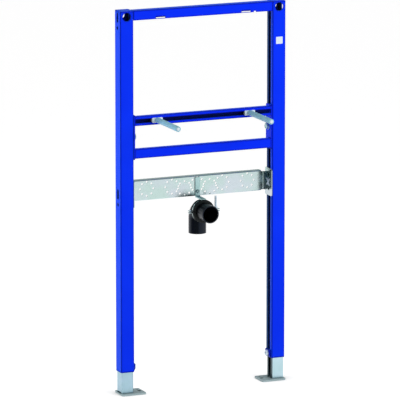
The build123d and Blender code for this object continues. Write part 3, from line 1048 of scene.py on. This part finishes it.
def background_rays(tree):
    """Masks of the rays that show the background, and of the reflected ones on the dark side."""
    paths = add_node(tree, "ShaderNodeLightPath", {}, {})
    mirrored = add_node(
        tree, "ShaderNodeMath", {"operation": "MAXIMUM"},
        {0: paths.outputs["Is Glossy Ray"], 1: paths.outputs["Is Transmission Ray"]},
    )
    shown = add_node(
        tree, "ShaderNodeMath", {"operation": "MAXIMUM"},
        {0: paths.outputs["Is Camera Ray"], 1: mirrored.outputs[0]},
    )
    geometry = add_node(tree, "ShaderNodeNewGeometry", {}, {})
    level = add_node(
        tree, "ShaderNodeVectorMath", {"operation": "MULTIPLY", 1: (1, 1, 0)},
        {0: geometry.outputs["Position"]},
    )
    heading = add_node(
        tree, "ShaderNodeVectorMath", {"operation": "NORMALIZE"}, {0: level.outputs[0]},
    )
    facing = add_node(
        tree, "ShaderNodeVectorMath", {"operation": "DOT_PRODUCT", 1: DARK_SIDE},
        {0: heading.outputs[0]},
    )
    dark = add_node(
        tree, "ShaderNodeMapRange", {"From Min": DARK_EDGE[0], "From Max": DARK_EDGE[1]},
        {"Value": facing.outputs["Value"]},
    )
    shade = add_node(
        tree, "ShaderNodeMath", {"operation": "MULTIPLY"},
        {0: dark.outputs["Result"], 1: mirrored.outputs[0]},
    )
    return shown.outputs[0], shade.outputs[0]


print("dark card stands towards", DARK_SIDE)

# %% [markdown]
# ## Floor
# The floor is a wide disc of pale grey paint that fills the whole view. It is lit like the frame and
# keeps the soft shadow of the feet, and a glow for camera rays and reflections lifts it to white. The
# glow fades where the feet shut the sky out, a painted shadow round and under them, and the dark card
# stays away from the floor near them.

# %% Pale studio floor
FLOOR_RADIUS = 14.0
FLOOR_GLOW = 0.75
FLOOR_PAINT = (0.45, 0.45, 0.45, 1)
CONTACT_REACH = 70 * MM
CARD_FROM = (0.9, 1.7)
bm = bmesh.new()
bmesh.ops.create_circle(bm, cap_ends=True, segments=96, radius=FLOOR_RADIUS)
floor_mesh = bpy.data.meshes.new("studio_floor")
bm.to_mesh(floor_mesh)
bm.free()
floor = bpy.data.objects.new("studio_floor", floor_mesh)
bpy.context.scene.collection.objects.link(floor)
floor_finish, tree, place = start_finish("pale_studio_floor")
shown, shade = background_rays(tree)
# Painted shadow: the AO node dims the glow close to the feet and under their holes
open_sky = add_node(
    tree, "ShaderNodeAmbientOcclusion", {"samples": 8, "Distance": CONTACT_REACH}, {},
)
lifted = add_node(
    tree, "ShaderNodeMath", {"operation": "MULTIPLY"}, {0: shown, 1: open_sky.outputs["AO"]},
)
glow_power = add_node(
    tree, "ShaderNodeMath", {"operation": "MULTIPLY", 1: FLOOR_GLOW}, {0: lifted.outputs[0]},
)
glow = add_node(
    tree, "ShaderNodeEmission", {"Color": WHITE}, {"Strength": glow_power.outputs[0]},
)
paint = add_node(tree, "ShaderNodeBsdfDiffuse", {"Color": FLOOR_PAINT}, {})
pale = add_node(
    tree, "ShaderNodeAddShader", {}, {0: paint.outputs["BSDF"], 1: glow.outputs["Emission"]},
)
away = add_node(tree, "ShaderNodeVectorMath", {"operation": "LENGTH"}, {0: place})
far = add_node(
    tree, "ShaderNodeMapRange", {"From Min": CARD_FROM[0], "From Max": CARD_FROM[1]},
    {"Value": away.outputs["Value"]},
)
far_shade = add_node(
    tree, "ShaderNodeMath", {"operation": "MULTIPLY"}, {0: shade, 1: far.outputs["Result"]},
)
card = add_node(tree, "ShaderNodeEmission", {"Color": CARD_TINT, "Strength": CARD_LEVEL}, {})
carded = add_node(
    tree, "ShaderNodeMixShader", {},
    {0: far_shade.outputs[0], 1: pale.outputs["Shader"], 2: card.outputs["Emission"]},
)
add_node(tree, "ShaderNodeOutputMaterial", {}, {"Surface": carded.outputs["Shader"]})
floor_mesh.materials.append(floor_finish)
print("floor radius", FLOOR_RADIUS, "m")

# %% [markdown]
# ## World
# For the background's rays, the world is white at eye level and a bluish grey above, which gives the
# zinc its darker top edges. The light that it sheds on the frame is weaker, and weakest from above,
# so that upright faces are the bright ones, as between the white walls of a studio.

# %% World around the frame
CEILING = (0.31, 0.37, 0.37, 1)
CEILING_FROM = (0.04, 0.18)
AMBIENT_LEVELS = (0.70, 0.34)
AMBIENT_UP_TO = 0.6
world = bpy.data.worlds.new("studio_world")
bpy.context.scene.world = world
world.use_nodes = True
tree = world.node_tree
tree.nodes.clear()
shown, shade = background_rays(tree)
coords = add_node(tree, "ShaderNodeTexCoord", {}, {})
split = add_node(tree, "ShaderNodeSeparateXYZ", {}, {"Vector": coords.outputs["Generated"]})
height = add_node(
    tree, "ShaderNodeMapRange", {"From Min": CEILING_FROM[0], "From Max": CEILING_FROM[1]},
    {"Value": split.outputs["Z"]},
)
ceiling = add_node(
    tree, "ShaderNodeMix", {"data_type": "RGBA", 6: WHITE, 7: CEILING},
    {0: height.outputs["Result"]},
)
backdrop = add_node(
    tree, "ShaderNodeBackground", {"Strength": 1.0}, {"Color": ceiling.outputs[2]},
)
dimming = add_node(
    tree, "ShaderNodeMapRange",
    {"From Max": AMBIENT_UP_TO, "To Min": AMBIENT_LEVELS[0], "To Max": AMBIENT_LEVELS[1]},
    {"Value": split.outputs["Z"]},
)
ambient = add_node(
    tree, "ShaderNodeBackground", {"Color": WHITE}, {"Strength": dimming.outputs["Result"]},
)
sky = add_node(
    tree, "ShaderNodeMixShader", {},
    {0: shown, 1: ambient.outputs["Background"], 2: backdrop.outputs["Background"]},
)
card = add_node(tree, "ShaderNodeBackground", {"Color": CARD_TINT, "Strength": CARD_LEVEL}, {})
carded = add_node(
    tree, "ShaderNodeMixShader", {},
    {0: shade, 1: sky.outputs["Shader"], 2: card.outputs["Background"]},
)
add_node(tree, "ShaderNodeOutputWorld", {}, {"Surface": carded.outputs["Shader"]})
print("world:", world.name, "with ambient levels", AMBIENT_LEVELS)

# %% [markdown]
# ## Lamps
# Two broad suns from the front give even light from head to foot, which one lamp close by would not.
# A soft box on the left and one at the near right add a gentle fall-off. None of them shows in
# reflections, because the white studio already gives the metal its highlights.

# %% Soft lamps
AIM = Vector((0.0, 0.06, 0.55))
# Each lamp: name, kind, where it stands, how wide or how soft it is, and its strength
lamps = (
    ("key_light", "SUN", (2.4, -3.8, 2.1), math.radians(50), 1.16),
    ("fill_light", "SUN", (-2.2, -3.4, 1.8), math.radians(60), 0.25),
    ("left_softbox", "AREA", (-1.8, 0.40, 0.8), 1.0, 20),
    ("near_softbox", "AREA", (1.5, -1.8, 1.9), 1.4, 31),
)
for lamp_name, kind, spot, spread, strength in lamps:
    lamp = bpy.data.lights.new(lamp_name, kind)
    if kind == "SUN":
        lamp.angle = spread
    else:
        lamp.size = spread
    lamp.energy = strength
    lamp_object = bpy.data.objects.new(lamp_name, lamp)
    lamp_object.visible_glossy = False
    lamp_object.location = spot
    lamp_object.rotation_euler = (AIM - Vector(spot)).to_track_quat("-Z", "Y").to_euler()
    bpy.context.scene.collection.objects.link(lamp_object)
bpy.context.scene.view_settings.view_transform = "Standard"
print("lamps:", [lamp_row[0] for lamp_row in lamps])

# %% [markdown]
# ## Camera
# The photograph was taken from the left front, a little above the frame, through a long lens, so the
# posts stay almost parallel. The place, pitch and lens below put most corners of the posts and rails
# within about a pixel of where the photograph has them; the left foot comes out 2 or 3 pixels high.

# %% Camera at the photograph's viewing angle
CAMERA_AT = (-5.1893, -12.0445, 3.2485)
CAMERA_PITCH = math.radians(90 - 11.639)
CAMERA_YAW = math.radians(-23.194)
CAMERA_LENS = 432.45
camera_data = bpy.data.cameras.new("camera")
camera_data.sensor_width = 36
camera_data.lens = CAMERA_LENS
camera = bpy.data.objects.new("camera", camera_data)
camera.location = CAMERA_AT
camera.rotation_euler = (CAMERA_PITCH, 0, CAMERA_YAW)
bpy.context.scene.collection.objects.link(camera)
bpy.context.scene.camera = camera
print("camera at", CAMERA_AT, "lens", CAMERA_LENS)
